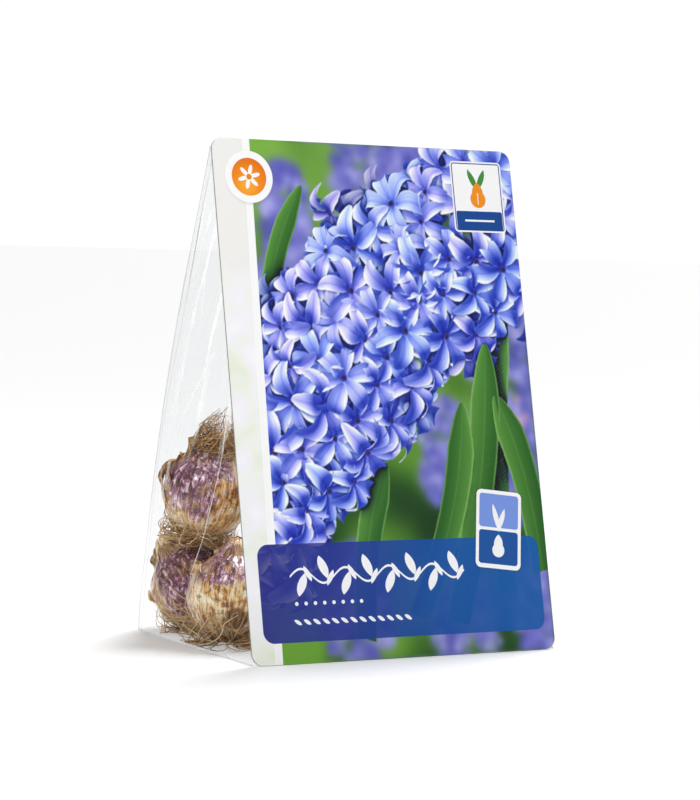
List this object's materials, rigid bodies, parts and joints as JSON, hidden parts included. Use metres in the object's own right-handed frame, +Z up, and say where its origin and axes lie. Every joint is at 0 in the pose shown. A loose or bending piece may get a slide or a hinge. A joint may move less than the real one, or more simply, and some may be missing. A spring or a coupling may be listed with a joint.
{
  "type": "hyacinth bulb retail pack",
  "caption": "Free-standing wedge pack: a printed card that leans back, with a clear film bag of dry hyacinth bulbs behind it.",
  "frame": {"origin": "middle of the footprint, on the surface that the pack stands on", "axes": "+Z up, the card faces -Y, +X to the right as seen from the front"},
  "size_m": [0.1788, 0.1442, 0.2534],
  "materials": {
    "printed_board": null,
    "clear_film": "thin clear film, creased and glossy",
    "bulb_skin": "dry papery bulb skins, mauve over golden tan, with straw-coloured tatters and roots"
  },
  "bodies": {
    "root": {"printed_card": "printed_board", "film_bag": "clear_film", "bulb_left_front": "bulb_skin", "bulb_left_rear": "bulb_skin", "bulb_left_upper": "bulb_skin", "bulb_front_left": "bulb_skin", "bulb_front_right": "bulb_skin", "bulb_middle": "bulb_skin", "bulb_right": "bulb_skin", "bulb_rear_middle": "bulb_skin", "bulb_rear_right": "bulb_skin", "bulb_right_upper": "bulb_skin"}
  },
  "joints": []
}
